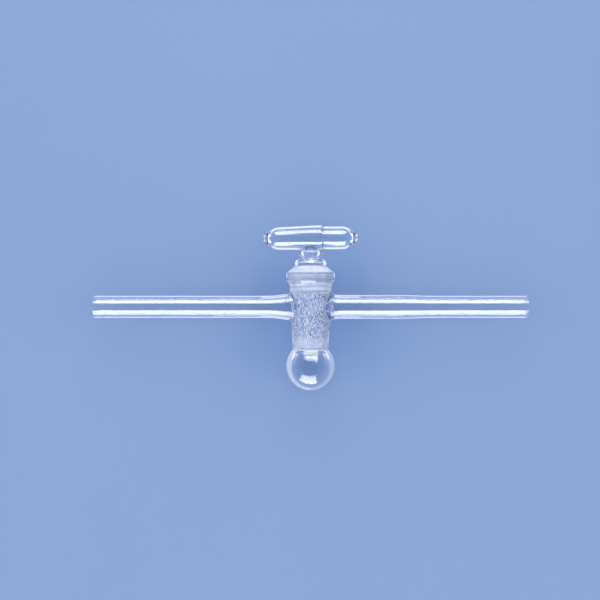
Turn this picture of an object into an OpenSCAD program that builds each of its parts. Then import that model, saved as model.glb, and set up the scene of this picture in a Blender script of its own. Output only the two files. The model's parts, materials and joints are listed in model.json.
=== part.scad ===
// High-vacuum glass stopcock with a hollow ground plug, T handle and evacuated bulb.
//
// The pieces are drawn in the working attitude: barrel axis along Z with the handle on top,
// side arms along X, and the crossing of the two axes at zero. lay_down() then turns the
// stopcock on to its side, resting on its rim and its bulb.

/* [Side arms] */
// Outside diameter of the side arm tubing
arm_d = 10; // [9:0.1:10.4]
// Wall of the side arm tubing
arm_wall = 1.2; // [0.8:0.1:1.6]
// Distance from the barrel axis to the open end of each arm
arm_reach = 98.5; // [80:0.5:120]
// Rounding of the fire-polished open ends
arm_end_round = 0.4; // [0.2:0.1:0.5]
// Outside diameter of the left arm at its seal to the barrel
left_seal_d = 12.6; // [11:0.1:13]
// Length over which the left arm swells towards its seal
left_swell = 10.6; // [5:0.1:20]
// Outside diameter of the right arm at its seal to the barrel
right_seal_d = 11.8; // [11.2:0.1:13]
// Length over which the right arm swells towards its seal
right_swell = 5; // [3:0.1:12]
// Outside diameter of the thicker stub that carries the right arm
stub_d = 10.8; // [10.4:0.1:11.2]
// Distance from the barrel axis to the end of the thicker stub
stub_reach = 41; // [24:0.5:50]
// Length over which the stub narrows to the arm tubing
stub_blend = 14; // [5:0.5:20]

/* [Barrel] */
// Diameter of the ground seat at the mouth of the barrel
seat_d = 14.5; // [14:0.1:15]
// Length over which the seat narrows by one millimetre in diameter
taper = 10; // [9:0.5:12]
// Length of the ground seat
seat_length = 36.5; // [34:0.5:38]
// Height of the mouth of the barrel above the arm axis
mouth_height = 18.1; // [17:0.1:19]
// Wall of the barrel outside the ground seat
barrel_wall = 2.7; // [2.2:0.1:2.9]
// Outside diameter of the rim
rim_d = 22; // [21:0.1:23]
// Height of the sloping top of the rim
rim_slope = 2.5; // [1.5:0.1:3]
// Height of the cylindrical band of the rim
rim_band = 4; // [3:0.1:4.5]
// Height of the slope under the rim
rim_under = 2.3; // [1.8:0.1:2.8]
// Rounding of the edges of the rim
rim_round = 0.5; // [0.2:0.1:0.8]
// Wall between the seat and the foot of the bore of the left arm
left_port_wall = 0.7; // [0.5:0.1:1.8]
// Wall between the seat and the foot of the bore of the right arm
right_port_wall = 2.4; // [0.5:0.1:2.6]

/* [Vacuum bulb] */
// Outside diameter of the bulb
bulb_d = 22; // [20:0.1:26]
// Length of the straight neck between the foot of the seat and the bulb
bulb_neck = 0.6; // [0.2:0.1:3]
// Wall of the bulb at its widest
bulb_side_wall = 2.1; // [1.5:0.1:2.4]
// Wall of the bulb at its closed end
bulb_end_wall = 1.2; // [0.9:0.1:1.5]
// Inset of that neck from the outside of the barrel
bulb_neck_inset = 0.1; // [0.05:0.05:0.4]
// Rounding from the neck into the bulb
bulb_fillet = 1; // [0.5:0.1:2]

/* [Plug] */
// Radial gap between the ground plug and the seat
seat_gap = 0.05; // [0.02:0.01:0.1]
// Wall of the hollow plug
plug_wall = 1.3; // [1:0.1:1.5]
// Bore through the plug and through the barrel wall
bore_d = 4; // [2.5:0.5:4]
// Wall of the tube that carries the bore across the hollow plug
bore_wall = 1; // [0.8:0.1:1.2]
// Depth of the rounded foot of the plug below the seat
foot_depth = 3.7; // [3:0.1:4.5]
// Height by which the ground part of the plug stands out of the barrel
ground_proud = 0.4; // [0.2:0.1:1]
// Inset of the clear head from the ground part below it
head_inset = 0.1; // [0.05:0.05:0.5]
// Height of the top of the head above the mouth of the barrel
head_height = 3.6; // [3:0.1:5]
// Rounding of the shoulder of the head
shoulder_round = 2; // [1.4:0.1:2.4]
// Diameter of the vents that join the hollow plug to the bulb and to an arm
vent_d = 2; // [1.2:0.1:2.4]

/* [Neck] */
// Outside diameter of the waist between head and handle
waist_d = 7.2; // [7:0.1:7.8]
// Wall of the waist and of the neck above it
neck_wall = 0.9; // [0.7:0.1:1.4]
// Height of the waist
waist_height = 1.1; // [1:0.1:3]
// Rounding from the head into the waist
waist_round = 0.8; // [0.4:0.1:1]
// Outside diameter of the bead under the handle
bead_d = 11; // [10:0.1:11.4]
// Height of the bead
bead_height = 3; // [2.4:0.1:3.4]

/* [Handle] */
// Length of the handle from tip to tip
handle_length = 43.7; // [38:0.1:50]
// Diameter of the handle at its left end
handle_left_d = 10.2; // [9.6:0.1:10.6]
// Diameter of the handle at the left side of its seam
handle_seam_d = 11.4; // [10.8:0.1:12]
// Diameter of the handle to the right of its seam
handle_right_d = 10.4; // [10:0.1:10.6]
// Distance of the seam from the barrel axis
seam_offset = 5.4; // [4.8:0.1:7]
// Depth of the seam below the right part of the handle
seam_depth = 0.3; // [0.1:0.05:0.4]
// Width of each side of the seam
seam_side = 1; // [0.5:0.1:1.5]
// Wall of the hollow handle
handle_wall = 0.9; // [0.8:0.1:1.1]
// Solid glass at each tip of the hollow handle
tip_solid = 3; // [2:0.1:4]
// Length of each rounded end of the hollow
hollow_end = 4.6; // [3:0.1:5]
// Half angle of the solid tips
tip_angle = 36; // [32:1:40]
// Rounding of the point of each tip
tip_round = 2; // [1:0.1:2.2]
// Rounding from the handle to each tip
tip_shoulder = 6; // [5:0.5:7]

/* [Hidden] */
$fn = 96;
arc_steps = 12;
glass = [0.80, 0.87, 0.97, 0.45];

arm_r = arm_d / 2;
stub_r = stub_d / 2;
seat_foot = mouth_height - seat_length;
rim_r = rim_d / 2;
band_top = mouth_height - rim_slope;
band_foot = band_top - rim_band;
body_top = band_foot - rim_under;
mouth_flat = 0.3; // flat left round the mouth
swell_power = 1.6; // how sharply blown glass swells towards a seal
bore_r = bore_d / 2;
ground_top = mouth_height + ground_proud;
head_top = mouth_height + head_height;
waist_r = waist_d / 2;
bead_r = bead_height / 2;
bead_z = head_top + waist_height + bead_r;
neck_r = bead_d / 2 - bead_r;
tip_x = handle_length / 2;
seam_r = handle_seam_d / 2;
// the neck stands about three quarters of the way from the left end of the handle to its seam
handle_mid_r = handle_left_d / 8 + 3 * handle_seam_d / 8;
handle_z = bead_z + bead_r + handle_mid_r;

// Points along an arc about centre c, from angle a to angle b
function arc(c, r, a, b) =
    [for (i = [0:arc_steps]) c + r * [cos(a + (b - a) * i / arc_steps), sin(a + (b - a) * i / arc_steps)]];

// Radius of the ground seat, of the ground plug and of the outside of the barrel at height z
function seat_r(z) = seat_d / 2 - (mouth_height - z) / (2 * taper);
function plug_r(z) = seat_r(z) - seat_gap;
function body_r(z) = seat_r(z) + barrel_wall;

// The bulb hangs as low as its neck and the rounding between them need
bulb_r = bulb_d / 2;
bulb_neck_r = body_r(seat_foot) - bulb_neck_inset;
fillet_side = bulb_neck_r + bulb_fillet;
fillet_rise = sqrt(pow(bulb_r + bulb_fillet, 2) - pow(fillet_side, 2));
bulb_z = seat_foot - bulb_neck - fillet_rise;

// ---- Barrel, side arms and bulb: one piece of sealed glass ----

module barrel_outside() {
    edge = rim_r - rim_round;
    mouth_edge = seat_r(mouth_height) + mouth_flat;
    under_angle = atan2(rim_r - body_r(body_top), rim_under);
    top_angle = atan2(rim_r - mouth_edge, rim_slope);
    rotate_extrude()
        polygon(concat(
            [[0, seat_foot],
             [body_r(seat_foot), seat_foot],
             [body_r(body_top), body_top]],
            arc([edge, band_foot + rim_round], rim_round, -under_angle, 0),
            arc([edge, band_top - rim_round], rim_round, 0, top_angle),
            [[mouth_edge, mouth_height],
             [0, mouth_height]]));
}

// Swell of an arm of radius r towards its seal: the radius grows faster and faster on the
// way in, as blown glass does
function swell(r, seal_r, length) =
    [for (i = [0:arc_steps])
        let (way = 1 - i / arc_steps)
        [r + (seal_r - r) * pow(way, swell_power), body_r(0) + length * (1 - way)]];

// Outline of the left and of the right arm from the seal outwards, moved in by inset
function left_line(inset) =
    [for (p = swell(arm_r, left_seal_d / 2, left_swell)) p - [inset, 0]];
function right_line(inset) =
    [for (p = concat(swell(stub_r, right_seal_d / 2, right_swell),
                     [[stub_r, stub_reach], [arm_r, stub_reach + stub_blend]]))
        p - [inset, 0]];

module arm_outside(line) {
    rotate_extrude()
        polygon(concat(
            [[0, 0], [line[0][0], 0]],
            line,
            arc([arm_r - arm_end_round, arm_reach - arm_end_round], arm_end_round, 0, 90),
            [[0, arm_reach]]));
}

// The bore of an arm follows its outside and ends in a funnel at the port
module arm_inside(line, port_wall) {
    funnel_foot = seat_r(0) + port_wall;
    lip = arm_r - arm_wall + arm_end_round;
    rotate_extrude()
        polygon(concat(
            [[0, 0], [bore_r, 0], [bore_r, funnel_foot]],
            line,
            arc([lip, arm_reach - arm_end_round], arm_end_round, 180, 90),
            [[lip, arm_reach + 1], [0, arm_reach + 1]]));
}

module bulb_outside() {
    fillet_angle = atan2(fillet_rise, fillet_side);
    translate([0, 0, bulb_z])
        sphere(r = bulb_r);
    // neck, rounded into the bulb and carried up into the barrel
    translate([0, 0, bulb_z])
        rotate_extrude()
            polygon(concat(
                [[0, 0]],
                arc([fillet_side, fillet_rise], bulb_fillet, 180 + fillet_angle, 180),
                [[bulb_neck_r, fillet_rise + bulb_neck + 1],
                 [0, fillet_rise + bulb_neck + 1]]));
}

module seat_and_bulb_inside() {
    over = 1;
    // ground seat, carried on above the mouth so that it cuts clean
    translate([0, 0, seat_foot])
        cylinder(r1 = seat_r(seat_foot), r2 = seat_r(mouth_height + over), h = seat_length + over);
    // throat round the foot of the plug
    translate([0, 0, bulb_z])
        cylinder(r = seat_r(seat_foot), h = seat_foot - bulb_z + 0.01);
    // hollow of the bulb, lower than the outside so that the closed end is thinner
    translate([0, 0, bulb_z - (bulb_side_wall - bulb_end_wall)])
        sphere(r = bulb_r - bulb_side_wall);
}

module barrel() {
    color(glass)
        difference() {
            union() {
                barrel_outside();
                bulb_outside();
                rotate([0, 90, 0]) arm_outside(right_line(0));
                rotate([0, -90, 0]) arm_outside(left_line(0));
            }
            seat_and_bulb_inside();
            rotate([0, 90, 0]) arm_inside(right_line(arm_wall), right_port_wall);
            rotate([0, -90, 0]) arm_inside(left_line(arm_wall), left_port_wall);
        }
}

// ---- Plug and handle: one piece of blown glass ----

// Rounded foot below radius r at the foot of the seat, as deep as depth
function foot_points(r, depth) =
    let (round_r = (r * r + depth * depth) / (2 * depth),
         start = asin(r / round_r))
    arc([0, seat_foot - depth + round_r], round_r, -90, start - 90);

head_r = plug_r(ground_top) - head_inset;

module plug_outside() {
    rotate_extrude()
        polygon(concat(
            foot_points(plug_r(seat_foot), foot_depth),
            [[plug_r(ground_top), ground_top],
             [head_r, ground_top + 2 * head_inset]],
            arc([head_r - shoulder_round, head_top - shoulder_round], shoulder_round, 0, 90),
            arc([waist_r + waist_round, head_top + waist_round], waist_round, 270, 180),
            arc([neck_r, bead_z], bead_r, -90, 90),
            [[neck_r, handle_z],
             [0, handle_z]]));
}

module plug_inside() {
    inner_round = max(0.3, shoulder_round - plug_wall);
    inner_head_r = head_r - plug_wall;
    inner_head_top = head_top - plug_wall;
    rotate_extrude()
        polygon(concat(
            foot_points(plug_r(seat_foot) - plug_wall, foot_depth - plug_wall),
            [[plug_r(mouth_height) - plug_wall, mouth_height]],
            arc([inner_head_r - inner_round, inner_head_top - inner_round], inner_round, 0, 90),
            [[waist_r - neck_wall, inner_head_top],
             [waist_r - neck_wall, bead_z - bead_r],
             [neck_r - neck_wall, bead_z + bead_r],
             [neck_r - neck_wall, handle_z],
             [0, handle_z]]));
}

// End of the handle from radius r: a rounded shoulder, a cone and a rounded point
function tip_points(r) =
    let (apex = tip_x + tip_round * (1 / sin(tip_angle) - 1),
         start = apex - (tip_shoulder + (r - tip_shoulder) * cos(tip_angle)) / sin(tip_angle))
    concat(
        arc([r - tip_shoulder, start], tip_shoulder, 0, tip_angle),
        arc([0, tip_x - tip_round], tip_round, tip_angle, 90));

// Rounded end of the hollow: a quarter ellipse from radius r to the solid tip
function hollow_points(r) =
    [for (i = [0:arc_steps])
        let (a = 90 * i / arc_steps)
        [r * cos(a), tip_x - tip_solid - hollow_end * (1 - sin(a))]];

// The points of a right end, turned round to make the left end
function turned(points) =
    [for (i = [len(points) - 1:-1:0]) [points[i][0], -points[i][1]]];

module handle_outside() {
    rotate_extrude()
        polygon(concat(
            turned(tip_points(handle_left_d / 2)),
            [[seam_r, seam_offset - seam_side],
             [seam_r - seam_depth / 2, seam_offset - seam_side / 2],
             [handle_right_d / 2 - seam_depth, seam_offset],
             [handle_right_d / 2, seam_offset + seam_side]],
            tip_points(handle_right_d / 2)));
}

module handle_inside() {
    right_r = handle_right_d / 2 - handle_wall;
    rotate_extrude()
        polygon(concat(
            turned(hollow_points(handle_left_d / 2 - handle_wall)),
            [[seam_r - handle_wall, seam_offset - 1.5 * seam_side],
             [right_r - seam_depth, seam_offset],
             [right_r, seam_offset + seam_side]],
            hollow_points(right_r)));
}

module along_handle() {
    translate([0, 0, handle_z]) rotate([0, 90, 0]) children();
}

// The tube that carries the bore, cut flush with the ground outside of the plug
module bore_tube() {
    intersection() {
        plug_outside();
        rotate([0, 90, 0])
            cylinder(r = bore_r + bore_wall, h = 2 * seat_d, center = true);
    }
}

module plug() {
    color(glass)
        difference() {
            union() {
                difference() {
                    union() {
                        plug_outside();
                        along_handle() handle_outside();
                    }
                    plug_inside();
                    along_handle() handle_inside();
                }
                bore_tube();
            }
            rotate([0, 90, 0])
                cylinder(r = bore_r, h = 2 * seat_d, center = true);
            // vent in the foot, open to the bulb
            translate([0, 0, seat_foot - foot_depth - 1])
                cylinder(d = vent_d, h = plug_wall + 2);
            // side vent, a quarter turn from the bore, that meets an arm when the plug is shut
            rotate([-90, 0, 0])
                translate([0, 0, plug_r(0) - plug_wall - 1])
                    cylinder(d = vent_d, h = seat_d);
        }
}

// ---- Resting attitude ----

// The stopcock lies on its rim and bulb. Where these differ in size, its axis slopes.
slope = asin((rim_r - bulb_r) / (band_top - rim_band / 2 - bulb_z));
rest_height = bulb_r - bulb_z * sin(slope);

module lay_down() {
    translate([0, 0, rest_height]) rotate([slope - 90, 0, 0]) children();
}

lay_down() barrel();
lay_down() plug();
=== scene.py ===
import json
import math

import bmesh
import bpy
import numpy as np
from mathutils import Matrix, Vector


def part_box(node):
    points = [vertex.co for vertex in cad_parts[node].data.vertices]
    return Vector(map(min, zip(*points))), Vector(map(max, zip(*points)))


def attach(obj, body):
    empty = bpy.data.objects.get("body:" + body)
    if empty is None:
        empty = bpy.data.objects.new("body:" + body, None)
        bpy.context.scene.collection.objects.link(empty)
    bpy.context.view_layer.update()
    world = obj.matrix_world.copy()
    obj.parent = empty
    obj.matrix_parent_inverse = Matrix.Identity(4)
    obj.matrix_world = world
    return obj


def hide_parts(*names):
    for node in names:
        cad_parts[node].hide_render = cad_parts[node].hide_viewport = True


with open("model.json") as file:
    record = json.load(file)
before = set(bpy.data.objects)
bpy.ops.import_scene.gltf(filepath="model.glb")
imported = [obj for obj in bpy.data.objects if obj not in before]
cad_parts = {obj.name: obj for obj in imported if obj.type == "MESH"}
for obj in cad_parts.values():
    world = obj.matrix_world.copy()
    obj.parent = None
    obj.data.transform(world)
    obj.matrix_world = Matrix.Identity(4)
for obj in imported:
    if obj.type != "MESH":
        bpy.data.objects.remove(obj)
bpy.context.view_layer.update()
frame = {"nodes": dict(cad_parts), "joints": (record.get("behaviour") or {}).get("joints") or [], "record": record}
print("frame loaded:", sorted(frame["nodes"]))

# Shapes are worked out in millimetres about the crossing of the barrel axis and the arm axis:
# +X along the right arm, +Y up the barrel to the handle. toFrame lifts them to the frame.
mm = 0.001
axisHeight = frame["joints"][0]["pos_m"][2] / mm
mounts = {mount["name"]: mount for mount in frame["record"]["mounts"]}
barrelLow, barrelHigh = (np.array(corner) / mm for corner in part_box("barrel"))
plugHigh = np.array(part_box("plug")[1]) / mm
clear, ground = 0, 1  # material slots of both glass pieces
doubledGap = 1e-6     # points of an outline closer than this, in millimetres, are one
weldGap = 1e-6        # points of a mesh closer than this, in metres, are one
creaseAngle = 38      # edges sharper than this many degrees stay crisp
holeCrowding = 1.3    # above 1, the rows of a surface crowd towards a hole in it


def toFrame(points):
    # (x, y, z) in millimetres to (x, y, z + height of the axis) in metres
    return (points + np.array([0, 0, axisHeight])) * mm


# Outlines are rows of (radius, place along the axis)

def arc(centre, radius, start, end, steps=10):
    # centre + radius (cos a, sin a), a from start to end in degrees
    a = np.radians(np.linspace(start, end, steps + 1))
    return np.stack([centre[0] + radius * np.cos(a), centre[1] + radius * np.sin(a)], axis=1)


def line(start, end, steps=1):
    # start (1 - t) + end t, t from 0 to 1
    share = np.linspace(0, 1, steps + 1)[:, None]
    return np.array(start) * (1 - share) + np.array(end) * share


def outline(*parts):
    # the parts one after the other, less the doubled point of each joint
    points = np.concatenate([np.atleast_2d(part) for part in parts])
    step = np.linalg.norm(np.diff(points, axis=0), axis=1)
    return points[np.concatenate([[True], step > doubledGap])]


def ease(t):
    # smooth step 3t^2 - 2t^3 between 0 and 1
    t = np.clip(t, 0, 1)
    return t * t * (3 - 2 * t)


# Surfaces are grids of points: rows by columns by 3

def aroundY(profile, angles):
    # (r cos a, y, r sin a); angles is one row, or one row for each point of the profile
    angles = np.broadcast_to(angles, (len(profile), np.shape(angles)[-1]))
    r, y = profile[:, :1], profile[:, 1:]
    return np.stack([r * np.cos(angles), y + 0 * angles, r * np.sin(angles)], axis=-1)


def aroundX(profile, angles, axisY=0.0, turned=1):
    # (x, axisY + turned r cos a, r sin a), for an outline of (radius, x)
    r, x = profile[:, :1], profile[:, 1:]
    return np.stack([x + 0 * angles, axisY + turned * r * np.cos(angles), r * np.sin(angles)], -1)


def turnAboutY(grid, degrees):
    # moves a grid round the barrel axis: (x, z) to (x cos t - z sin t, x sin t + z cos t)
    c, s = math.cos(math.radians(degrees)), math.sin(math.radians(degrees))
    x, y, z = grid[..., 0], grid[..., 1], grid[..., 2]
    return np.stack([x * c - z * s, y, x * s + z * c], axis=-1)


def ringRoundBox(low, high, half, alongSteps, acrossSteps):
    # Points round the rectangle low..high by -half..half, counter-clockwise from (high, 0):
    # half a side across, the long side, the far side across, the long side, the other half
    a, b = np.linspace(low, high, alongSteps + 1), np.linspace(-half, half, acrossSteps + 1)
    middle = acrossSteps // 2
    along = np.concatenate([np.full(middle, high), a[:0:-1], np.full(acrossSteps, low),
                            a[:-1], np.full(middle, high)])
    across = np.concatenate([b[middle:-1], np.full(alongSteps, half), b[:0:-1],
                             np.full(alongSteps, -half), b[:middle]])
    return along, across


def patchRows(surface, box, hole, steps):
    # the surface at hole + t^crowding (box - hole), from t = 1 at the box to t = 0 at the hole
    t = np.linspace(1, 0, steps + 1)[:, None] ** holeCrowding
    return surface(hole[0] + t * (box[0] - hole[0]), hole[1] + t * (box[1] - hole[1]))


def bridgeRows(start, startWay, end, endWay, steps):
    # Hermite curves h00 P0 + h10 W0 + h01 P1 + h11 W1 from ring to ring, without the end rings
    t = np.linspace(0, 1, steps + 1)[1:-1, None, None]
    h00, h10 = 2 * t**3 - 3 * t**2 + 1, t**3 - 2 * t**2 + t
    h01, h11 = 3 * t**2 - 2 * t**3, t**3 - t**2
    return h00 * start + h10 * startWay + h01 * end + h11 * endWay


def straightRows(start, end, steps):
    # start (1 - t) + end t from ring to ring, without the end rings
    t = np.linspace(0, 1, steps + 1)[1:-1, None, None]
    return start * (1 - t) + end * t


def unit(vectors):
    # each vector over its own length
    return vectors / np.linalg.norm(vectors, axis=-1, keepdims=True)


class Shell:
    # collects grids and welds them into one closed mesh, with a material slot for each finish
    def __init__(self):
        self.points, self.quads, self.finishes, self.count = [], [], [], 0

    def add(self, grid, finish=clear, closed=True):
        # a quad between each point and the next in its row and column; closed joins the row's ends
        rows, columns = grid.shape[:2]
        index = np.arange(rows * columns).reshape(rows, columns) + self.count
        if closed:
            index = np.hstack([index, index[:, :1]])
        quads = np.stack([index[:-1, :-1], index[1:, :-1], index[1:, 1:], index[:-1, 1:]], axis=-1)
        self.points.append(grid.reshape(-1, 3))
        self.quads.append(quads.reshape(-1, 4))
        self.finishes.append(
            np.broadcast_to(np.reshape(finish, (-1, 1)), quads.shape[:2]).reshape(-1))
        self.count += rows * columns

    def build(self, name, materials):
        # one mesh of all the grids, its doubled points welded and its faces turned outwards
        mesh = bpy.data.meshes.new(name)
        mesh.from_pydata(toFrame(np.concatenate(self.points)).tolist(), [],
                         np.concatenate(self.quads).tolist())
        mesh.polygons.foreach_set("material_index", np.concatenate(self.finishes).astype(np.int32))
        welded = bmesh.new()
        welded.from_mesh(mesh)
        bmesh.ops.remove_doubles(welded, verts=welded.verts, dist=weldGap)
        bmesh.ops.recalc_face_normals(welded, faces=welded.faces)
        openEdges = sum(1 for edge in welded.edges if len(edge.link_faces) != 2)
        volume = welded.calc_volume(signed=True) / mm**3
        welded.to_mesh(mesh)
        welded.free()
        mesh.polygons.foreach_set("use_smooth", np.ones(len(mesh.polygons), bool))
        mesh.set_sharp_from_angle(angle=math.radians(creaseAngle))
        for material in materials:
            mesh.materials.append(material)
        piece = bpy.data.objects.new(name, mesh)
        bpy.context.scene.collection.objects.link(piece)
        print(f"{name}: {len(mesh.polygons)} faces, {openEdges} open edges, {volume:.0f} mm3")
        return piece


# Materials

class Signal:
    # a socket that takes part in sums: each operator adds the Math node it needs
    def __init__(self, tree, socket):
        self.tree, self.socket = tree, socket

    def math(self, operation, other=0.0, swapped=False):
        # operation (self, other), or (other, self) when swapped
        values = {0: other, 1: self} if swapped else {0: self, 1: other}
        return self.tree.node("ShaderNodeMath", {"operation": operation}, values)

    def __add__(self, other):
        return self.math("ADD", other)

    def __radd__(self, other):
        return self.math("ADD", other, True)

    def __sub__(self, other):
        return self.math("SUBTRACT", other)

    def __rsub__(self, other):
        return self.math("SUBTRACT", other, True)

    def __mul__(self, other):
        return self.math("MULTIPLY", other)

    def __rmul__(self, other):
        return self.math("MULTIPLY", other, True)


class Finish:
    # the nodes of one material, or of the world
    def __init__(self, name, world=False):
        self.owner = bpy.data.worlds.new(name) if world else bpy.data.materials.new(name)
        self.end = "ShaderNodeOutputWorld" if world else "ShaderNodeOutputMaterial"
        self.owner.use_nodes = True
        self.tree = self.owner.node_tree
        self.tree.nodes.clear()

    def node(self, kind, settings=None, values=None, out=0):
        # settings first, then a value or a link for each socket, by name or by number
        made = self.tree.nodes.new(kind)
        for key, value in (settings or {}).items():
            setattr(made, key, value)
        for key, value in (values or {}).items():
            if isinstance(value, Signal):
                self.tree.links.new(value.socket, made.inputs[key])
            else:
                made.inputs[key].default_value = value
        return Signal(self, made.outputs[out])

    def place(self, scale):
        # Object coordinates times scale, one for each axis: a higher scale crowds a pattern
        where = self.node("ShaderNodeTexCoord", out="Object")
        return self.node("ShaderNodeMapping", {}, {"Vector": where, "Scale": scale})

    def along(self, axis):
        # one Object coordinate in metres: 0, 1, 2 for X, Y, Z
        where = self.node("ShaderNodeTexCoord", out="Object")
        return self.node("ShaderNodeSeparateXYZ", {}, {"Vector": where}, out=axis)

    def ring(self, axis, place, width, core=0.4):
        # 1 up to core x width from this place along the axis, falling to 0 at the whole width
        off = (self.along(axis) - place).math("ABSOLUTE")
        return self.between(off, width * core, width, 1.0, 0.0)

    def ray(self, what):
        # what Light Path says of a ray: its kind, or how often it has met a kind of surface
        return self.node("ShaderNodeLightPath", out=what)

    def beforeMatt(self):
        # 1 for rays that have met no matt surface yet, 0 for the others: 1 - min(depth, 1)
        return 1 - self.ray("Diffuse Depth").math("MINIMUM", 1.0)

    def noise(self, scale, stretch=(1, 1, 1), detail=2.0):
        # 0 to 1 with a mean of a half, in clouds of about 1 / (scale x stretch) metres
        return self.node("ShaderNodeTexNoise", {},
                         {"Vector": self.place(stretch), "Scale": scale, "Detail": detail})

    def between(self, signal, low, high, toLow=0.0, toHigh=1.0):
        # smooth step from toLow at low to toHigh at high
        return self.node("ShaderNodeMapRange", {"interpolation_type": "SMOOTHSTEP"}, {
            "Value": signal, "From Min": low, "From Max": high, "To Min": toLow, "To Max": toHigh})

    def blend(self, share, first, second):
        # first (1 - share) + second share, for colours: sockets 0, 6, 7 of a colour Mix are its
        # factor and its two colours, and output 2 is the colour
        return self.node("ShaderNodeMix", {"data_type": "RGBA"},
                         {0: share, 6: first, 7: second}, out=2)

    def bump(self, height, distance):
        # the normal of a surface raised by height x distance, in metres
        return self.node("ShaderNodeBump", {}, {"Height": height, "Distance": distance})

    def mix(self, share, first, second):
        # first (1 - share) + second share, for shaders
        return self.node("ShaderNodeMixShader", {}, {0: share, 1: first, 2: second})

    def finish(self, surface):
        # joins the surface to the output, and gives the material or the world
        end = self.tree.nodes.new(self.end)
        self.tree.links.new(surface.socket, end.inputs["Surface"])
        return self.owner


def glassFinish(name, look, colour, roughness, height):
    # Glass that bends light for the eye, and lets the lamps through to what lies in and under it:
    # glass (1 - shadow ray) + see-through shadow ray
    finish = Finish(name)
    glass = finish.node("ShaderNodeBsdfPrincipled", {}, {
        "Base Color": colour(finish), "Roughness": roughness(finish), "IOR": look["ior"],
        "Specular IOR Level": look["shine"], "Transmission Weight": look["transmission"],
        "Sheen Weight": look["bloom"], "Sheen Roughness": look["bloomSpread"],
        "Normal": finish.bump(height(finish), look["bump"])})
    through = finish.node("ShaderNodeBsdfTransparent", {}, {"Color": look["shadow"]})
    return finish.finish(finish.mix(finish.ray("Is Shadow Ray"), glass, through))


clearLook = {
    "ior": 1.474, "shine": 0.5, "transmission": 1.0, "bump": 0.0000015,
    "bloom": 0.2, "bloomSpread": 0.4,  # the faint light film of handled glass
    "shadow": (0.89, 0.94, 0.985, 1),
    "tints": ((0.93, 0.96, 0.985, 1), (0.965, 0.98, 0.995, 1)), "tintClouds": 90,
    "rough": (0.0, 0.015), "roughClouds": 160, "roughFrom": (0.3, 0.75),
    "drawn": (6, 40, 40),  # faint waves, drawn out along X
    # a faint line where two tubes of the handle were fused: place and width in metres
    "fuseLine": (-0.0048, 0.0005), "handleFrom": (0.0262, 0.0266), "fuseDepth": 16.0,
}
clearGlass = glassFinish(
    "clear_glass", clearLook,
    lambda f: f.blend(f.noise(clearLook["tintClouds"]), *clearLook["tints"]),
    lambda f: f.between(f.noise(clearLook["roughClouds"], detail=3),
                        *clearLook["roughFrom"], *clearLook["rough"]),
    lambda f: f.noise(1.0, clearLook["drawn"]) - f.ring(0, *clearLook["fuseLine"])
    * f.between(f.along(1), *clearLook["handleFrom"]) * clearLook["fuseDepth"])

groundLook = {
    "ior": 1.474, "shine": 0.0, "transmission": 0.15, "bump": 0.00005,
    "bloom": 0.0, "bloomSpread": 0.5, "shadow": (0.72, 0.78, 0.88, 1),
    "pale": (0.93, 0.94, 1.0, 1), "dull": (0.36, 0.46, 0.74, 1), "fleck": (0.06, 0.13, 0.30, 1),
    "rough": (0.42, 0.62), "roughClouds": 260, "roughFrom": (0.3, 0.7), "grain": 2600,
    "streaks": (4300, 560, 4300), "turning": (60, 800, 60), "mottle": 420,
    "streakShare": (0.2, 0.8),  # streaks against turning marks: at the mouth, and added below it
    "mottleShare": 0.3, "markFrom": (0.40, 0.58),
    # how pale the frost is, how far its marks swing round that, and what wear does to both, with a painted shade
    # that darkens the worn stretch
    "paleShare": 0.71, "swingMiddle": 0.6, "swing": 0.5, "wornSwing": 0.9, "wornShade": 0.2,
    "flecks": (2700, 1000, 2700), "fleckFrom": (0.53, 0.58), "fleckClouds": (0.42, 0.55),
    # the most worn stretch of the joint, in metres along Y, which also carries painted shade
    "wornShadedFoot": (-0.0165, -0.0115), "wornShadedTop": (0.0085, 0.0045),
    # painted shade at its mouth: faint dark rings that stand for the rim's edges bending the view of the seat,
    # place and width in metres, and depth; a darker band of painted shade lies round them
    "shadeRings": ((0.0153, 0.0006, 0.85), (0.0125, 0.0005, 0.6)), "ringShadeColour": (0.30, 0.37, 0.55, 1),
    "bandFoot": (0.0108, 0.0118), "bandTop": (0.0157, 0.0152), "bandShade": 0.3,
}


def groundColour(f):
    # Lengthways streaks over a mottle, with a scatter of small dark flecks where the plug has
    # worn its seat; near the mouth the streaks give way to faint turning marks. The share of the
    # pale colour is (level - middle) x swing + pale share, and less where the seat is worn, as
    # painted shade that keeps that stretch darker than the lit mouth. Painted shade also lays
    # dark rings and a darker band at the mouth.
    look, y = groundLook, f.along(1)
    below = f.between(y, *look["wornShadedTop"])
    wornAndShaded = f.between(y, *look["wornShadedFoot"]) * below
    mottle = f.noise(look["mottle"], detail=3)
    streak = f.noise(1.0, look["streaks"])
    turning = f.noise(1.0, look["turning"], detail=1)
    atMouth, added = look["streakShare"]
    mark = turning + (streak - turning) * (below * added + atMouth)
    mixed = mark * (1 - look["mottleShare"]) + mottle * look["mottleShare"]
    level = f.between(mixed, *look["markFrom"])
    # the worn stretch is less pale: painted shade that keeps it darker than the mouth the lamps light
    share = ((level - look["swingMiddle"]) * (wornAndShaded * look["wornSwing"] + look["swing"])
             + look["paleShare"] - wornAndShaded * look["wornShade"])
    frost = f.blend(share, look["dull"], look["pale"])
    flecks = f.between(f.noise(1.0, look["flecks"], detail=1), *look["fleckFrom"])
    flecks = flecks * wornAndShaded * f.between(mottle, *look["fleckClouds"])
    flecked = f.blend(flecks, frost, look["fleck"])
    # painted shade: dark rings and a darker band at the mouth, where the rim's edges bend the view of the seat
    upper, lower = (f.ring(1, place, width) * depth for place, width, depth in look["shadeRings"])
    band = f.between(y, *look["bandFoot"]) * f.between(y, *look["bandTop"])
    shade = (upper + lower).math("MAXIMUM", band * look["bandShade"])
    return f.blend(shade, flecked, look["ringShadeColour"])


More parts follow.
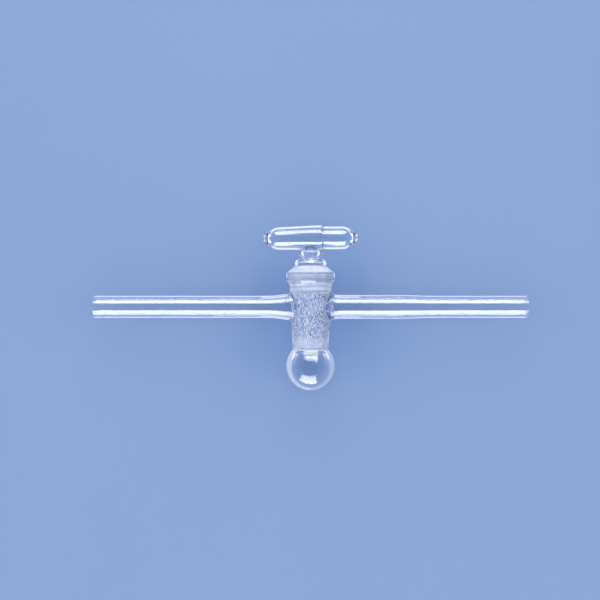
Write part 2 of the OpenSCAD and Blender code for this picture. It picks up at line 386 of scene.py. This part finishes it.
groundGlass = glassFinish(
    "ground_glass", groundLook, groundColour,
    lambda f: f.between(f.noise(groundLook["roughClouds"]),
                        *groundLook["roughFrom"], *groundLook["rough"]),
    lambda f: f.noise(groundLook["grain"]))
print("glass finishes made")


# The barrel with its side arms and bulb

seat = {
    "mouthR": 7.25, "gain": 20,  # the seat gains a millimetre of radius in this length
    "mouthY": barrelHigh[1], "footY": -18.4, "wall": 2.7,
    # up to midY above and below the arms the barrel is two grids of bands by columns
    "midY": 9.1, "bands": 40, "columns": 40,
}


def seatR(y):
    # radius at the mouth - (mouth - y) / gain
    return seat["mouthR"] - (seat["mouthY"] - y) / seat["gain"]


def bodyR(y):
    # outside of the barrel: the seat's radius + its wall
    return seatR(y) + seat["wall"]


def onCone(radius):
    # the point at height y and angle a of a cone round the barrel axis
    return lambda y, a: np.stack([radius(y) * np.cos(a), y, radius(y) * np.sin(a)], axis=-1)


def holeInCone(radius, size, phi):
    # where a tube of this radius along X meets the cone: y = size cos phi, sin a = size sin phi / R
    y = size * np.cos(phi)
    return y, np.arcsin(size * np.sin(phi) / radius(y))


arm = {
    "r": mounts["right_arm"]["dims"]["r_mm"],
    "wall": 1.2, "reach": barrelHigh[0], "lip": 0.4, "portR": 2.0,
    # sealR, swell, fillet, holeR: radius at the barrel, length of the swelling, rounding, and the
    # opening in the barrel's side; the bore ends in a bowl from bowlTop in to bowlFoot, and lean
    # slants the top of the bowl
    "left": {"sealR": 6.3, "swell": 10.6, "fillet": 1.3, "holeR": 7.4, "stubR": 5.0,
             "bowlFoot": 6.95, "bowlTop": 8.9, "lean": 1.1},
    "right": {"sealR": 5.9, "swell": 5.0, "fillet": 1.8, "holeR": 7.6, "stubR": 5.4,
              "bowlFoot": 8.6, "bowlTop": 10.7, "lean": 0.0},
    "stubEnd": 41, "stubBlend": 14, "swellPower": 1.6, "pastSwell": 1, "filletPull": 1.1,
    "portEdge": 0.15,
    # points along the arm: at its seal, over its length, and in the swelling and bowl of the bore
    "sealRows": 9, "sealCrowding": 1.2, "rows": 46, "swellRows": 12, "bowlRows": 14,
}


def armR(x, side):
    # tube radius, + the stub's extra up to its blend, + the swell (seal - stub) way^power
    past = ease((x - arm["stubEnd"]) / arm["stubBlend"])
    stub = arm["r"] + (side["stubR"] - arm["r"]) * (1 - past)
    way = np.clip(1 - (x - bodyR(0)) / side["swell"], 0, None)
    return stub + (side["sealR"] - side["stubR"]) * way ** arm["swellPower"]


def armGrid(side):
    # One long grid from the outside of the barrel, along the arm to its lip, back through the bore
    # and the port, and out over the ground seat. Ring k keeps its angle phi all the way.
    box = ringRoundBox(-seat["midY"], seat["midY"], math.pi / 2, seat["bands"], seat["columns"])
    phi = np.arctan2(box[1] * (seatR(0) + bodyR(0)) / 2, box[0])
    c, s = np.cos(phi), np.sin(phi)

    outside = patchRows(onCone(bodyR), box, holeInCone(bodyR, side["holeR"], phi), steps=12)
    # the arm begins where the barrel's side stands, plus the rounding between them
    start = np.sqrt(bodyR(0) ** 2 - (side["sealR"] * s) ** 2) + side["fillet"]
    swellEnd, lipX = bodyR(0) + side["swell"] + arm["pastSwell"], arm["reach"] - arm["lip"]
    t = np.linspace(0, 1, arm["sealRows"])[:, None] ** arm["sealCrowding"]
    seal = start + t * (swellEnd - start)
    x = np.linspace(swellEnd, lipX, arm["rows"])[1:, None]
    outerX = np.concatenate([seal, x + 0 * phi])
    outerR = armR(outerX, side)
    outer = np.stack([outerX, outerR * c, outerR * s], axis=-1)

    # the rounding leaves the barrel along its side and meets the arm along the arm
    last = outside[-1]
    inward = unit(np.stack([side["holeR"] * s * s / last[:, 0], -c, -s], axis=-1))
    onward = unit(outer[1] - outer[0])
    span = np.linalg.norm(outer[0] - last, axis=-1, keepdims=True) * arm["filletPull"]
    fillet = bridgeRows(last, inward * span, outer[0], onward * span, steps=9)

    lipIn = arm["r"] - arm["wall"] + arm["lip"]
    lip = outline(arc((arm["r"] - arm["lip"], lipX), arm["lip"], 0, 90, steps=6)[1:],
                  arc((lipIn, lipX), arm["lip"], 90, 180, steps=6))
    boreX = x[-2::-1, 0]
    bore = aroundX(outline(lip, np.stack([armR(boreX, side) - arm["wall"], boreX], axis=1)), phi)
    # The bore ends in a bowl, a quarter ellipse that the port opens in:
    # r = R cos a, x = top - (top - foot) sin a
    top = side["bowlTop"] + side["lean"] * c
    t = np.linspace(0, 1, arm["swellRows"])[1:, None]
    swellX = x[0] + t * (top - x[0])
    swellR = armR(swellX, side) - arm["wall"]
    bowlEnd = np.arccos((arm["portR"] + arm["portEdge"]) / swellR[-1])
    a = np.linspace(0, 1, arm["bowlRows"])[1:, None] * bowlEnd
    bowlR, bowlX = swellR[-1] * np.cos(a), top - (top - side["bowlFoot"]) * np.sin(a)
    r = np.concatenate([swellR, bowlR, [arm["portR"] + 0 * phi]])
    along = np.concatenate([swellX, bowlX, bowlX[-1:] - arm["portEdge"]])
    inside = np.concatenate([bore, np.stack([along, r * c, r * s], axis=-1)])

    port = holeInCone(seatR, arm["portR"], phi)
    seatPatch = patchRows(onCone(seatR), box, port, steps=14)[::-1]
    grid = np.concatenate([outside, fillet, outer, inside, seatPatch])
    finish = np.full(len(grid) - 1, clear)
    finish[-(len(seatPatch) - 1):] = ground
    return grid, finish


bulb = {
    "r": 11.0, "wall": 2.1, "footWall": 1.2, "neckR": 8.025, "neckStep": 0.1, "fillet": 1.0,
    "throatFillet": 2.5, "clearBelow": 0.75,
    "groundRows": (10, 2),  # rows of faces before the seat's foot where the throat is ground
}
rim = {
    "r": (barrelHigh[2] - barrelLow[2]) / 2, "slope": 2.5, "band": 4.0, "under": 2.3,
    "round": 0.5, "mouthFlat": 0.3,
    "groundRows": 2,  # the slope and the mouth are ground as the seat is
}


def makeBarrel(materials):
    # the grids of both arms, and outlines turned about the axis above and below them
    shell = Shell()
    grid, finish = armGrid(arm["right"])
    shell.add(grid, finish)
    grid, finish = armGrid(arm["left"])
    shell.add(turnAboutY(grid, 180), finish)
    angles = np.radians(np.arange(-90, 270, 180 / seat["columns"]))

    # rim: up its underside, round the band, down the slope to the mouth, then the ground seat
    mouthY, midY = seat["mouthY"], seat["midY"]
    edge, bandTop = rim["r"] - rim["round"], mouthY - rim["slope"]
    bandFoot = bandTop - rim["band"]
    bodyTop = bandFoot - rim["under"]
    mouthEdge = seatR(mouthY) + rim["mouthFlat"]
    underAngle = math.degrees(math.atan2(rim["r"] - bodyR(bodyTop), rim["under"]))
    topAngle = math.degrees(math.atan2(rim["r"] - mouthEdge, rim["slope"]))
    above = outline(
        (bodyR(midY), midY), (bodyR(bodyTop), bodyTop),
        arc((edge, bandFoot + rim["round"]), rim["round"], -underAngle, 0, steps=6),
        line((rim["r"], bandFoot + rim["round"]), (rim["r"], bandTop - rim["round"]), steps=4),
        arc((edge, bandTop - rim["round"]), rim["round"], 0, topAngle, steps=8),
        (mouthEdge, mouthY), (seatR(mouthY), mouthY))
    seatAbove = line((seatR(mouthY), mouthY), (seatR(midY), midY), steps=8)
    finish = np.full(len(above) + len(seatAbove) - 2, clear)
    finish[len(above) - 1 - rim["groundRows"]:] = ground
    shell.add(aroundY(outline(above, seatAbove), angles), finish)

    # below: the outside down to the foot of the bulb, and the inside back up to the seat
    footY, filletSide = seat["footY"], bulb["neckR"] + bulb["fillet"]
    bulbY = barrelLow[1] + bulb["r"]
    rise = math.sqrt((bulb["r"] + bulb["fillet"]) ** 2 - filletSide**2)
    angle = math.degrees(math.atan2(rise, filletSide))
    below = outline(
        line((bodyR(-midY), -midY), (bodyR(footY), footY), steps=8),
        line((bulb["neckR"], footY - bulb["neckStep"]), (bulb["neckR"], bulbY + rise), steps=2),
        arc((filletSide, bulbY + rise), bulb["fillet"], 180, 180 + angle, steps=8),
        arc((0, bulbY), bulb["r"], angle, -90, steps=36))
    below[-1, 0] = 0
    shell.add(aroundY(below, angles))
    innerR = bulb["r"] - bulb["wall"]
    innerY = bulbY - (bulb["wall"] - bulb["footWall"])
    # the throat is rounded into the hollow of the bulb
    throatR, soft = seatR(footY), bulb["throatFillet"]
    softRise = math.sqrt((innerR + soft) ** 2 - (throatR + soft) ** 2)
    softAngle = math.degrees(math.atan2(softRise, throatR + soft))
    throat = outline(
        arc((0, innerY), innerR, -90, softAngle, steps=34),
        arc((throatR + soft, innerY + softRise), soft, 180 + softAngle, 180, steps=10),
        line((throatR, innerY + softRise), (throatR, footY - bulb["clearBelow"]), steps=3),
        (throatR, footY))
    throat[0, 0] = 0
    seatBelow = line((throatR, footY), (seatR(-midY), -midY), steps=8)
    # the grinding breaks off at the foot of the seat and goes on faintly into the throat
    finish = np.full(len(throat) + len(seatBelow) - 2, clear)
    first, last = (len(throat) - row for row in bulb["groundRows"])
    finish[first:last] = ground
    finish[len(throat) - 1:] = ground
    shell.add(aroundY(outline(throat, seatBelow), angles), finish)
    return shell.build("barrel_glass", materials)


# The hollow plug with its bore tube, head, neck and handle

plugBody = {
    "gap": 0.05, "wall": 1.3, "footDepth": 3.7, "groundTop": 18.5,
    "boreR": 2.0, "tubeR": 3.0, "tubeFillet": 0.5, "filletReach": 1.2, "filletRows": 6,
    "ventR": 1.0,
    "footGround": (1, 15),  # rows of faces past the cone where the foot is ground
    # up to midY above and below the bore the plug is four grids of bands by columns
    "midY": 4.2, "bands": 24, "columns": 40,
}
head = {
    "r": 7.12, "topY": 21.7, "round": 2.0, "step": 0.2,
    "waistR": 3.6, "waistRound": 0.8, "neckWall": 0.9, "passageRound": 0.6,
    "beadR": 1.5, "beadY": 24.3, "beadOut": 4.0, "beadArc": (-97, 66),
    # the groove between the bead and the handle, and where the passage opens towards the handle
    "grooveR": 3.95, "grooveY": 25.7, "grooveLip": (0.3, 0.01),
    "passageTop": 23.4, "openY": 23.5, "openStep": 0.05,
}
handle = {
    "tipX": plugHigh[0], "seamR": 5.7, "leftR": 5.1, "rightR": 5.2, "wall": 0.9,
    "tipAngle": 36, "tipRound": 2.0, "shoulder": 6, "tipSolid": 3.0, "hollowEnd": 4.6,
    "seamX": 5.45, "seamEnd": 6.3, "seamDepth": 0.35, "seamFlat": 1,
    "holeR": 4.05, "innerHoleR": 3.15, "drop": 0.35, "dropReach": 18.0,
    # between boxLow and boxHigh the side over the neck is a grid of bands by columns
    "boxLow": -7.0, "boxHigh": 4.7, "bands": 32, "columns": 48,
    "hollowRows": 13, "leftRows": 9, "seamRows": 9,
}
handleY = plugHigh[1] - handle["seamR"]


def plugR(y):
    # the seat's radius - the gap of the joint
    return seatR(y) - plugBody["gap"]


def hollowR(y):
    # the plug's radius - its wall
    return plugR(y) - plugBody["wall"]


def quarterBox():
    # the ring round a quarter of the plug, and the angle phi of its points about the bore
    box = ringRoundBox(-plugBody["midY"], plugBody["midY"], math.pi / 4,
                       plugBody["bands"], plugBody["columns"])
    return box, np.arctan2(box[1] * plugR(0), box[0])


def boreSector():
    # Outside: box on the ground cone to the bore, through it, and out to the box opposite.
    # Inside: box on the hollow to the tube that carries the bore, along it, and out again.
    box, phi = quarterBox()
    outer = patchRows(onCone(plugR), box, holeInCone(plugR, plugBody["boreR"], phi), steps=10)
    holeX = np.sqrt(hollowR(0) ** 2 - (plugBody["tubeR"] * np.sin(phi)) ** 2)
    flare = plugBody["tubeR"] + plugBody["tubeFillet"]
    inner = patchRows(onCone(hollowR), box, holeInCone(hollowR, flare, phi), steps=8)
    # quarter round from the hollow's wall into the tube:
    # r = flare - fillet sin t, x = start + (end - start) (1 - cos t)
    t = np.radians(np.linspace(0, 90, plugBody["filletRows"]))[1:, None]
    r = flare - plugBody["tubeFillet"] * np.sin(t)
    startX, endX = inner[-1, :, 0], holeX - plugBody["tubeFillet"] * plugBody["filletReach"]
    x = startX + (endX - startX) * (1 - np.cos(t))
    fillet = np.stack([x, r * np.cos(phi), r * np.sin(phi)], axis=-1)
    inner = np.concatenate([inner, fillet])
    mirror = np.array([-1, 1, 1])
    return (np.concatenate([outer, (outer * mirror)[::-1]]), len(outer) - 1,
            np.concatenate([inner, (inner * mirror)[::-1]]))


def ventSector():
    # box on the ground cone to the side vent, straight in, and out over the hollow to its box
    box, phi = quarterBox()
    outer = patchRows(onCone(plugR), box, holeInCone(plugR, plugBody["ventR"], phi), steps=10)
    inner = patchRows(onCone(hollowR), box, holeInCone(hollowR, plugBody["ventR"], phi), steps=10)
    grid = np.concatenate([outer, inner[::-1]])
    return grid, [ground] * (len(outer) - 1) + [clear] * len(inner)


def footArc(r, depth, steps):
    # the rounded foot: part of a circle of radius (r^2 + depth^2) / (2 depth) up to radius r
    roundR = (r * r + depth * depth) / (2 * depth)
    centre = seat["footY"] - depth + roundR
    end = math.degrees(math.asin(r / roundR))
    start = math.degrees(math.asin(plugBody["ventR"] / roundR))
    return arc((0, centre), roundR, start - 90, end - 90, steps)


def handleR(x):
    # left radius + (seam radius - left radius) share: it widens evenly from the left shoulder
    # to just before the seam
    start = -handleShoulderX(handle["leftR"])
    share = (x - start) / (handle["seamX"] - handle["seamFlat"] - start)
    return handle["leftR"] + (handle["seamR"] - handle["leftR"]) * np.clip(share, 0, 1)


def handleShoulderX(r):
    # where the straight part ends: back from the apex by the cone and the rounded shoulder,
    # apex - (shoulder + (r - shoulder) cos a) / sin a
    a = math.radians(handle["tipAngle"])
    apex = handle["tipX"] + handle["tipRound"] * (1 / math.sin(a) - 1)
    return apex - (handle["shoulder"] + (r - handle["shoulder"]) * math.cos(a)) / math.sin(a)


def lowered(grid):
    # the handle's left end sinks a little below its seam: y falls by drop ease((-x) / reach)
    drop = handle["drop"] * ease(-grid[..., :1] / handle["dropReach"])
    return grid - drop * np.array([0, 1, 0])


def tipLine(r):
    # rounded shoulder, cone and rounded point of the handle's end: two arcs, joined by a line
    x = handleShoulderX(r)
    tip = outline(
        arc((r - handle["shoulder"], x), handle["shoulder"], 0, handle["tipAngle"], steps=10),
        arc((0, handle["tipX"] - handle["tipRound"]), handle["tipRound"],
            handle["tipAngle"], 90, steps=8))
    tip[-1, 0] = 0
    return tip


def hollowLine(r):
    # rounded end of the hollow, a quarter ellipse up to the solid tip:
    # (r cos a, end - length (1 - sin a))
    a = np.radians(np.linspace(0, 90, handle["hollowRows"]))
    end = handle["tipX"] - handle["tipSolid"]
    hollow = np.stack([r * np.cos(a), end - handle["hollowEnd"] * (1 - np.sin(a))], axis=1)
    hollow[-1, 0] = 0
    return hollow


def makePlug(materials):
    # four quarters round the bore, outlines turned about the axis, and the handle about its own
    shell = Shell()
    outer, outerRows, inner = boreSector()
    finish = np.full(len(outer) - 1, clear)
    finish[:outerRows], finish[-outerRows:] = ground, ground
    shell.add(outer, finish)
    shell.add(inner)
    grid, finish = ventSector()
    shell.add(turnAboutY(grid, -90), finish)
    quarter = np.radians(np.linspace(45, 135, plugBody["columns"] + 1))
    y = np.linspace(-plugBody["midY"], plugBody["midY"], plugBody["bands"] + 1)
    shell.add(aroundY(np.stack([plugR(y), y], axis=1), quarter), ground, closed=False)
    shell.add(aroundY(np.stack([hollowR(y), y], axis=1), quarter), closed=False)

    # lower half: down the ground cone, round the foot, through its vent and up the hollow
    even = np.radians(np.arange(0, 360, 90 / plugBody["columns"]))
    midY, footY = plugBody["midY"], seat["footY"]
    coneBelow = line((plugR(-midY), -midY), (plugR(footY), footY), steps=10)
    rest = outline(
        footArc(plugR(footY), plugBody["footDepth"], steps=16)[::-1],
        footArc(hollowR(footY), plugBody["footDepth"] - plugBody["wall"], steps=14),
        line((hollowR(footY), footY), (hollowR(-midY), -midY), steps=8))
    finish = np.full(len(coneBelow) + len(rest) - 2, clear)
    finish[:len(coneBelow) - 1] = ground
    first, last = (len(coneBelow) + row for row in plugBody["footGround"])
    finish[first:last] = ground
    shell.add(aroundY(outline(coneBelow, rest), even), finish)

    # upper half: ground cone, head, waist, bead and neck, then out over the handle
    box = ringRoundBox(handle["boxLow"], handle["boxHigh"], math.pi / 2,
                       handle["bands"], handle["columns"])
    theta = np.arctan2(box[1] * handleR(0), box[0])
    # a full turn from 0 on; a first angle that is 0 but for rounding stays there
    theta = np.where(np.round(theta, 9) < 0, theta + 2 * math.pi, theta)
    topY, groundTop = head["topY"], plugBody["groundTop"]

    def columnAngles(profile):
        # the columns turn from even spacing on the plug to the handle's own on the neck:
        # even (1 - share) + theta share
        share = ease((profile[:, 1:] - groundTop) / (head["openY"] - groundTop))
        return even * (1 - share) + theta * share

    def onHandle(wall):
        # (x, axis - r cos a, r sin a), lowered, with r the handle's radius - wall
        return lambda x, a: lowered(np.stack([x + 0 * a, handleY - (handleR(x) - wall) * np.cos(a),
                                              (handleR(x) - wall) * np.sin(a)], axis=-1))

    def neckAndPatch(profile, size, wall):
        # the neck turned about the barrel axis, straight rows to the hole where it meets the
        # handle, x = size cos theta, sin a = size sin theta / r, and on to the grid's edge
        neck = aroundY(profile, columnAngles(profile))
        x = size * np.cos(theta)
        hole = x, np.arcsin(size * np.sin(theta) / (handleR(x) - wall))
        patch = patchRows(onHandle(wall), box, hole, steps=12)[::-1]
        return np.concatenate([neck, straightRows(neck[-1], patch[0], steps=5), patch])

    coneAbove = line((plugR(midY), midY), (plugR(groundTop), groundTop), steps=10)
    beadFrom, beadTo = head["beadArc"]
    lipOut, lipDown = head["grooveLip"]
    grid = neckAndPatch(outline(
        coneAbove,
        (head["r"], groundTop + head["step"]),
        arc((head["r"] - head["round"], topY - head["round"]), head["round"], 0, 90, steps=12),
        arc((head["waistR"] + head["waistRound"], topY + head["waistRound"]),
            head["waistRound"], 270, 180, steps=8),
        arc((head["beadOut"], head["beadY"]), head["beadR"], beadFrom, beadTo, steps=20),
        (head["grooveR"] + lipOut, head["grooveY"] - lipDown),
        (head["grooveR"], head["grooveY"])), handle["holeR"], wall=0)
    finish = np.full(len(grid) - 1, clear)
    finish[:len(coneAbove) - 1] = ground
    shell.add(grid, finish)

    innerHead, innerTop = head["r"] - plugBody["wall"], topY - plugBody["wall"]
    innerRound, soft = head["round"] - plugBody["wall"], head["passageRound"]
    passage = head["waistR"] - head["neckWall"]
    shell.add(neckAndPatch(outline(
        line((hollowR(midY), midY), (hollowR(seat["mouthY"]), seat["mouthY"]), steps=10),
        arc((innerHead - innerRound, innerTop - innerRound), innerRound, 0, 90, steps=8),
        arc((passage + soft, innerTop + soft), soft, 270, 180, steps=6),
        line((passage, innerTop + soft), (passage, head["passageTop"]), steps=3),
        line((passage + head["openStep"], head["openY"]),
             (handle["innerHoleR"], head["grooveY"]), steps=4)),
        handle["innerHoleR"], handle["wall"]))

    # the rest of the handle: its back over the neck, and both ends all round
    back = np.radians(np.linspace(90, 270, handle["columns"] + 1))
    allRound = np.radians(np.arange(0, 360, 180 / handle["columns"]))
    x = np.linspace(handle["boxLow"], handle["boxHigh"], handle["bands"] + 1)
    seamX, seamEnd, boxHigh = handle["seamX"], handle["seamEnd"], handle["boxHigh"]
    for wall, endLine in ((0, tipLine), (handle["wall"], hollowLine)):
        left, right = handle["leftR"] - wall, handle["rightR"] - wall
        middle = np.stack([handleR(x) - wall, x], axis=1)
        shell.add(lowered(aroundX(middle, back, handleY, turned=-1)), closed=False)
        leftEnd = endLine(left)[::-1] * np.array([1, -1])
        leftX = np.linspace(leftEnd[-1, 1], handle["boxLow"], handle["leftRows"])[1:]
        leftPart = outline(leftEnd, np.stack([handleR(leftX) - wall, leftX], axis=1))
        shell.add(lowered(aroundX(leftPart, allRound, handleY, turned=-1)))
        # the seam: the wide left part turns in, and the right part rises from its foot
        t = np.linspace(0, 1, handle["seamRows"])[1:]
        dip = right - handle["seamDepth"]
        seamIn = np.stack([middle[-1, 0] + (dip - middle[-1, 0]) * ease(t),
                           boxHigh + (seamX - boxHigh) * t], axis=1)
        seamOut = np.stack([dip + (right - dip) * ease(t), seamX + (seamEnd - seamX) * t], axis=1)
        endX = endLine(right)[0, 1]
        straight = line((right, seamEnd), (right, endX), steps=6)
        shell.add(aroundX(outline(middle[-1], seamIn, seamOut, straight, endLine(right)),
                          allRound, handleY, turned=-1))
    return shell.build("plug_glass", materials)


barrelPiece = makeBarrel([clearGlass, groundGlass])
plugPiece = makePlug([clearGlass, groundGlass])
for piece, node in ((barrelPiece, "barrel"), (plugPiece, "plug")):
    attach(piece, node)
    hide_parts(node)
    node + "_glass"
print("glass pieces in place")


# Floor, lamps and camera

studio = {
    "floor": (0.245, 0.352, 0.60, 1), "floorShade": (0.23, 0.333, 0.577, 1), "floorClouds": 7,
    "floorRough": 0.9, "floorShine": 0.1, "floorSize": 3.4,
    "backdrop": (0.27, 0.392, 0.695, 1),
    "worldColour": (0.85, 0.92, 1.0, 1), "worldStrength": 0.23,
    "lampDistance": 5.0, "lampLength": 4.67, "lampFoot": 76,
    "cardRadiance": 8.5, "cardFoot": 0.001,
    # towards: degrees round the object from +X; span: degrees down from the zenith;
    # far, length and shift along X: the bright sheet's own, in metres
    "back": {"towards": 90, "span": (51, 81), "radiance": 3.7,
             "far": 0.22, "length": 0.27, "shift": 0.0},
    "front": {"towards": -90, "span": (47, 94), "radiance": 1.0,
              "far": 0.50, "length": 0.60, "shift": -0.10},
    "left": {"towards": 180, "span": (50, 86), "radiance": 4.8},
    "right": {"towards": 0, "span": (50, 86), "radiance": 4.5},
    "over": {"towards": 90, "span": (-24, 24), "radiance": 0.8},
    # sheets on the floor round the glass: lowest and highest X and Y in mm, and colour
    "edgeHeight": 0.0001,
    "edgeGlows": {"white": (0.92, 1.0, 1.3), "blue": (0.31, 0.43, 0.74),
                  "pale": (0.56, 0.64, 0.88), "dim": (0.42, 0.52, 0.80)},
    "edges": {
        "over_handle": (-45, 45, 36.8, 55, "white"), "left_tip": (-45, -26, 26.2, 36.8, "white"),
        "right_tip": (26, 45, 26.2, 36.8, "white"), "rim": (-23, 23, 13.5, 26.2, "white"),
        "left_arm": (-130, -23, 13.5, 20, "blue"), "right_arm": (23, 130, 13.5, 20, "blue"),
        "above": (-130, 130, 7.5, 13.5, "blue"), "under": (-130, 130, -7.5, 7.5, "white"),
        "below": (-130, 130, -11.5, -7.5, "blue"), "foot": (-23, 23, -17, -11.5, "white"),
        "left_low": (-130, -23, -17, -11.5, "blue"), "right_low": (23, 130, -17, -11.5, "blue"),
        "bulb_left": (-45, 0, -65, -17, "pale"), "bulb_right": (0, 45, -65, -17, "dim"),
    },
}
crown = axisHeight * mm  # height of the axis in metres


def stand(name, mesh, material):
    # a thing of the studio, which isn't part of the object
    mesh.materials.append(material)
    thing = bpy.data.objects.new(name, mesh)
    bpy.context.scene.collection.objects.link(thing)
    return thing


def flatSheet(name, left, right, low, high, z):
    # the rectangle left..right by low..high at height z, in metres, facing up
    mesh = bpy.data.meshes.new(name)
    mesh.from_pydata([(left, low, z), (right, low, z), (right, high, z), (left, high, z)], [],
                     [(0, 1, 2, 3)])
    return mesh


paper = Finish("floor_paper")
paperShader = paper.node("ShaderNodeBsdfPrincipled", {}, {
    "Base Color": paper.blend(
        paper.noise(studio["floorClouds"]), studio["floor"], studio["floorShade"]),
    "Roughness": studio["floorRough"], "Specular IOR Level": studio["floorShine"]})
half = studio["floorSize"] / 2
stand("floor", flatSheet("floor", -half, half, -half, half, 0), paper.finish(paperShader))

# Soft light from all round for matt surfaces; the eye and the glass see the backdrop's colour
sky = Finish("studio", world=True)
soft = sky.node("ShaderNodeBackground", {}, {
    "Color": studio["worldColour"], "Strength": studio["worldStrength"]})
backdrop = sky.node("ShaderNodeBackground", {}, {"Color": studio["backdrop"], "Strength": 1.0})
seen = sky.ray("Is Camera Ray").math("MAXIMUM", sky.ray("Is Glossy Ray"))
seen = seen.math("MAXIMUM", sky.ray("Is Transmission Ray")) * sky.beforeMatt()
bpy.context.scene.world = sky.finish(sky.mix(seen, soft, backdrop))


def softbox(name, light):
    # a long lamp beside the object, aimed at its middle; power = radiance x pi x area
    near, low = light["span"][0], min(light["span"][1], studio["lampFoot"])
    middle, opening = math.radians((near + low) / 2), math.radians(low - near)
    far, towards = studio["lampDistance"], math.radians(light["towards"])
    lamp = bpy.data.lights.new(name, "AREA")
    lamp.shape = "RECTANGLE"
    lamp.size, lamp.size_y = studio["lampLength"], 2 * far * math.tan(opening / 2)
    lamp.energy = light["radiance"] * math.pi * lamp.size * lamp.size_y
    holder = bpy.data.objects.new(name, lamp)
    holder.location = (far * math.sin(middle) * math.cos(towards),
                       far * math.sin(middle) * math.sin(towards), far * math.cos(middle) + crown)
    holder.rotation_euler = (-middle, 0, towards - math.pi / 2)
    holder.visible_glossy = holder.visible_transmission = holder.visible_camera = False
    bpy.context.scene.collection.objects.link(holder)


def brightSheet(name, mesh, material):
    # a sheet that only glass shows: unseen by the eye and by matt surfaces, and without a shadow
    sheet = stand(name, mesh, material)
    sheet.visible_camera = sheet.visible_diffuse = sheet.visible_shadow = False


def shineCard(name, card, steps=14):
    # A long bright sheet beside the object, part of a tube of radius d about X:
    # (x, d sin(towards) sin a, d cos a + crown), a from the zenith
    far, length, side = card["far"], card["length"], math.sin(math.radians(card["towards"]))
    a = np.radians(np.linspace(*card["span"], steps + 1))[:, None]
    height = np.maximum(far * np.cos(a) + crown, studio["cardFoot"])
    ends = card["shift"] + np.array([-length / 2, length / 2])
    grid = np.stack(np.broadcast_arrays(ends, side * far * np.sin(a), height), axis=-1)
    index = np.arange(2 * (steps + 1)).reshape(-1, 2)
    quads = np.stack([index[:-1, 0], index[:-1, 1], index[1:, 1], index[1:, 0]], axis=-1)
    mesh = bpy.data.meshes.new(name)
    mesh.from_pydata(grid.reshape(-1, 3).tolist(), [], quads.tolist())
    # dark to rays that have already met a matt surface, so it adds next to no light to the floor
    glow = Finish(name)
    light = glow.node("ShaderNodeEmission", {}, {
        "Strength": glow.beforeMatt() * studio["cardRadiance"]})
    brightSheet(name, mesh, glow.finish(light))


def edgeCard(name, card):
    # A bright sheet just over the floor for the edges of the glass alone: rays that no glass has
    # mirrored yet, and rays that have met a matt surface, go through it
    *sides, colour = card
    glow = Finish(name)
    mirrored = glow.ray("Glossy Depth").math("MINIMUM", 1.0)
    light = glow.node("ShaderNodeEmission", {}, {"Color": (*studio["edgeGlows"][colour], 1)})
    through = glow.node("ShaderNodeBsdfTransparent")
    mesh = flatSheet(name, *(side * mm for side in sides), studio["edgeHeight"])
    brightSheet(name, mesh, glow.finish(glow.mix(mirrored * glow.beforeMatt(), through, light)))


for where in ("back", "front", "left", "right", "over"):
    softbox("softbox_" + where, studio[where])
for where in ("back", "front"):
    shineCard("card_" + where, studio[where])
for where, card in studio["edges"].items():
    edgeCard("edge_" + where, card)

# the camera looks straight down; its place is in metres, the height over the axis
view = {"lens": 79.2, "across": -0.0048, "along": 0.0031, "height": 0.60}
lens = bpy.data.cameras.new("camera")
lens.lens = view["lens"]
camera = bpy.data.objects.new("camera", lens)
camera.location = (view["across"], view["along"], crown + view["height"])
bpy.context.scene.collection.objects.link(camera)
bpy.context.scene.camera = camera
bpy.context.scene.view_settings.view_transform = "Standard"
print("floor, lamps and camera set")
